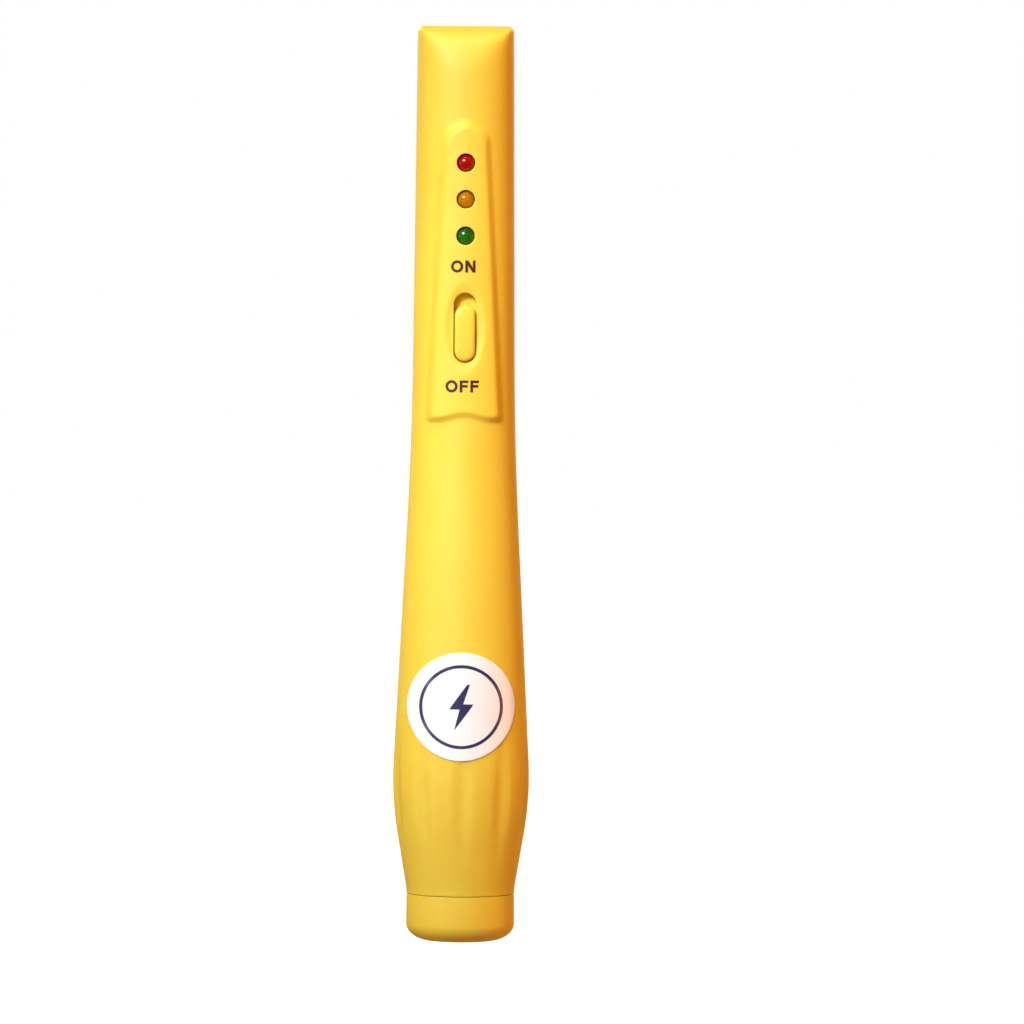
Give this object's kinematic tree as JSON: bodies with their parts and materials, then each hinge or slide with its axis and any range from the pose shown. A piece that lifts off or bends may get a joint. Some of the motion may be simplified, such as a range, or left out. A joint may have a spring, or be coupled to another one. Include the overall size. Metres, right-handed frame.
{
  "type": "non-contact voltage tester",
  "caption": "Pen-shaped tester of mains voltage by touchless sensing: chisel tip, row of indicator lamps, slide switch, fluted grip and a pull-off tail cap over the cells.",
  "frame": {"origin": "centre of the tail cap's flat end face", "axes": "+Z along the pen from the tail cap to the sensing tip; -Y is the front, with the lamps and the switch; +X is to the right when the front faces the viewer"},
  "size_m": [0.0238, 0.0239, 0.16],
  "materials": {
    "yellow_abs": "fine moulded texture",
    "label_white": "printed and laminated",
    "nickel_steel": "nickel plated",
    "brass": "stamped",
    "cell_jacket": "printed shrink sleeve on a drawn can",
    "green_board": "solder resist",
    "black_moulding": "moulded",
    "switch_base": "phenolic laminate",
    "green_lens": "tinted epoxy",
    "amber_lens": "tinted epoxy",
    "red_lens": "tinted epoxy"
  },
  "bodies": {
    "casing": {"front_shell": "yellow_abs", "rear_shell": "yellow_abs", "round_label": "label_white", "case_screw_middle": "nickel_steel", "case_screw_tip": "nickel_steel", "cell_lower": "cell_jacket", "cell_upper": "cell_jacket", "negative_strip": "brass", "positive_contact": "brass", "circuit_board": "green_board", "sensor_plate": "brass", "switch_base": "switch_base", "switch_can": "nickel_steel", "lamp_green": "green_lens", "lamp_amber": "amber_lens", "lamp_red": "red_lens", "logic_chip": "black_moulding", "sounder": "black_moulding", "capacitor": "nickel_steel", "resistor_1": "black_moulding", "resistor_2": "black_moulding", "resistor_3": "black_moulding", "resistor_4": "black_moulding", "transistor": "black_moulding"},
    "slider": {"switch_knob": "yellow_abs", "switch_lever": "black_moulding"},
    "tail_cap_set": {"tail_cap": "yellow_abs", "cap_contact": "brass", "battery_spring": "nickel_steel"}
  },
  "joints": [
    {"name": "switch_slide", "type": "slide", "parent": "casing", "child": "slider", "axis": [0, 0, 1], "range_m": [0, 0.002]},
    {"name": "tail_cap_pull", "type": "slide", "parent": "casing", "child": "tail_cap_set", "axis": [0, 0, -1], "range_m": [0, 0.02], "deforming": ["battery_spring"]}
  ]
}
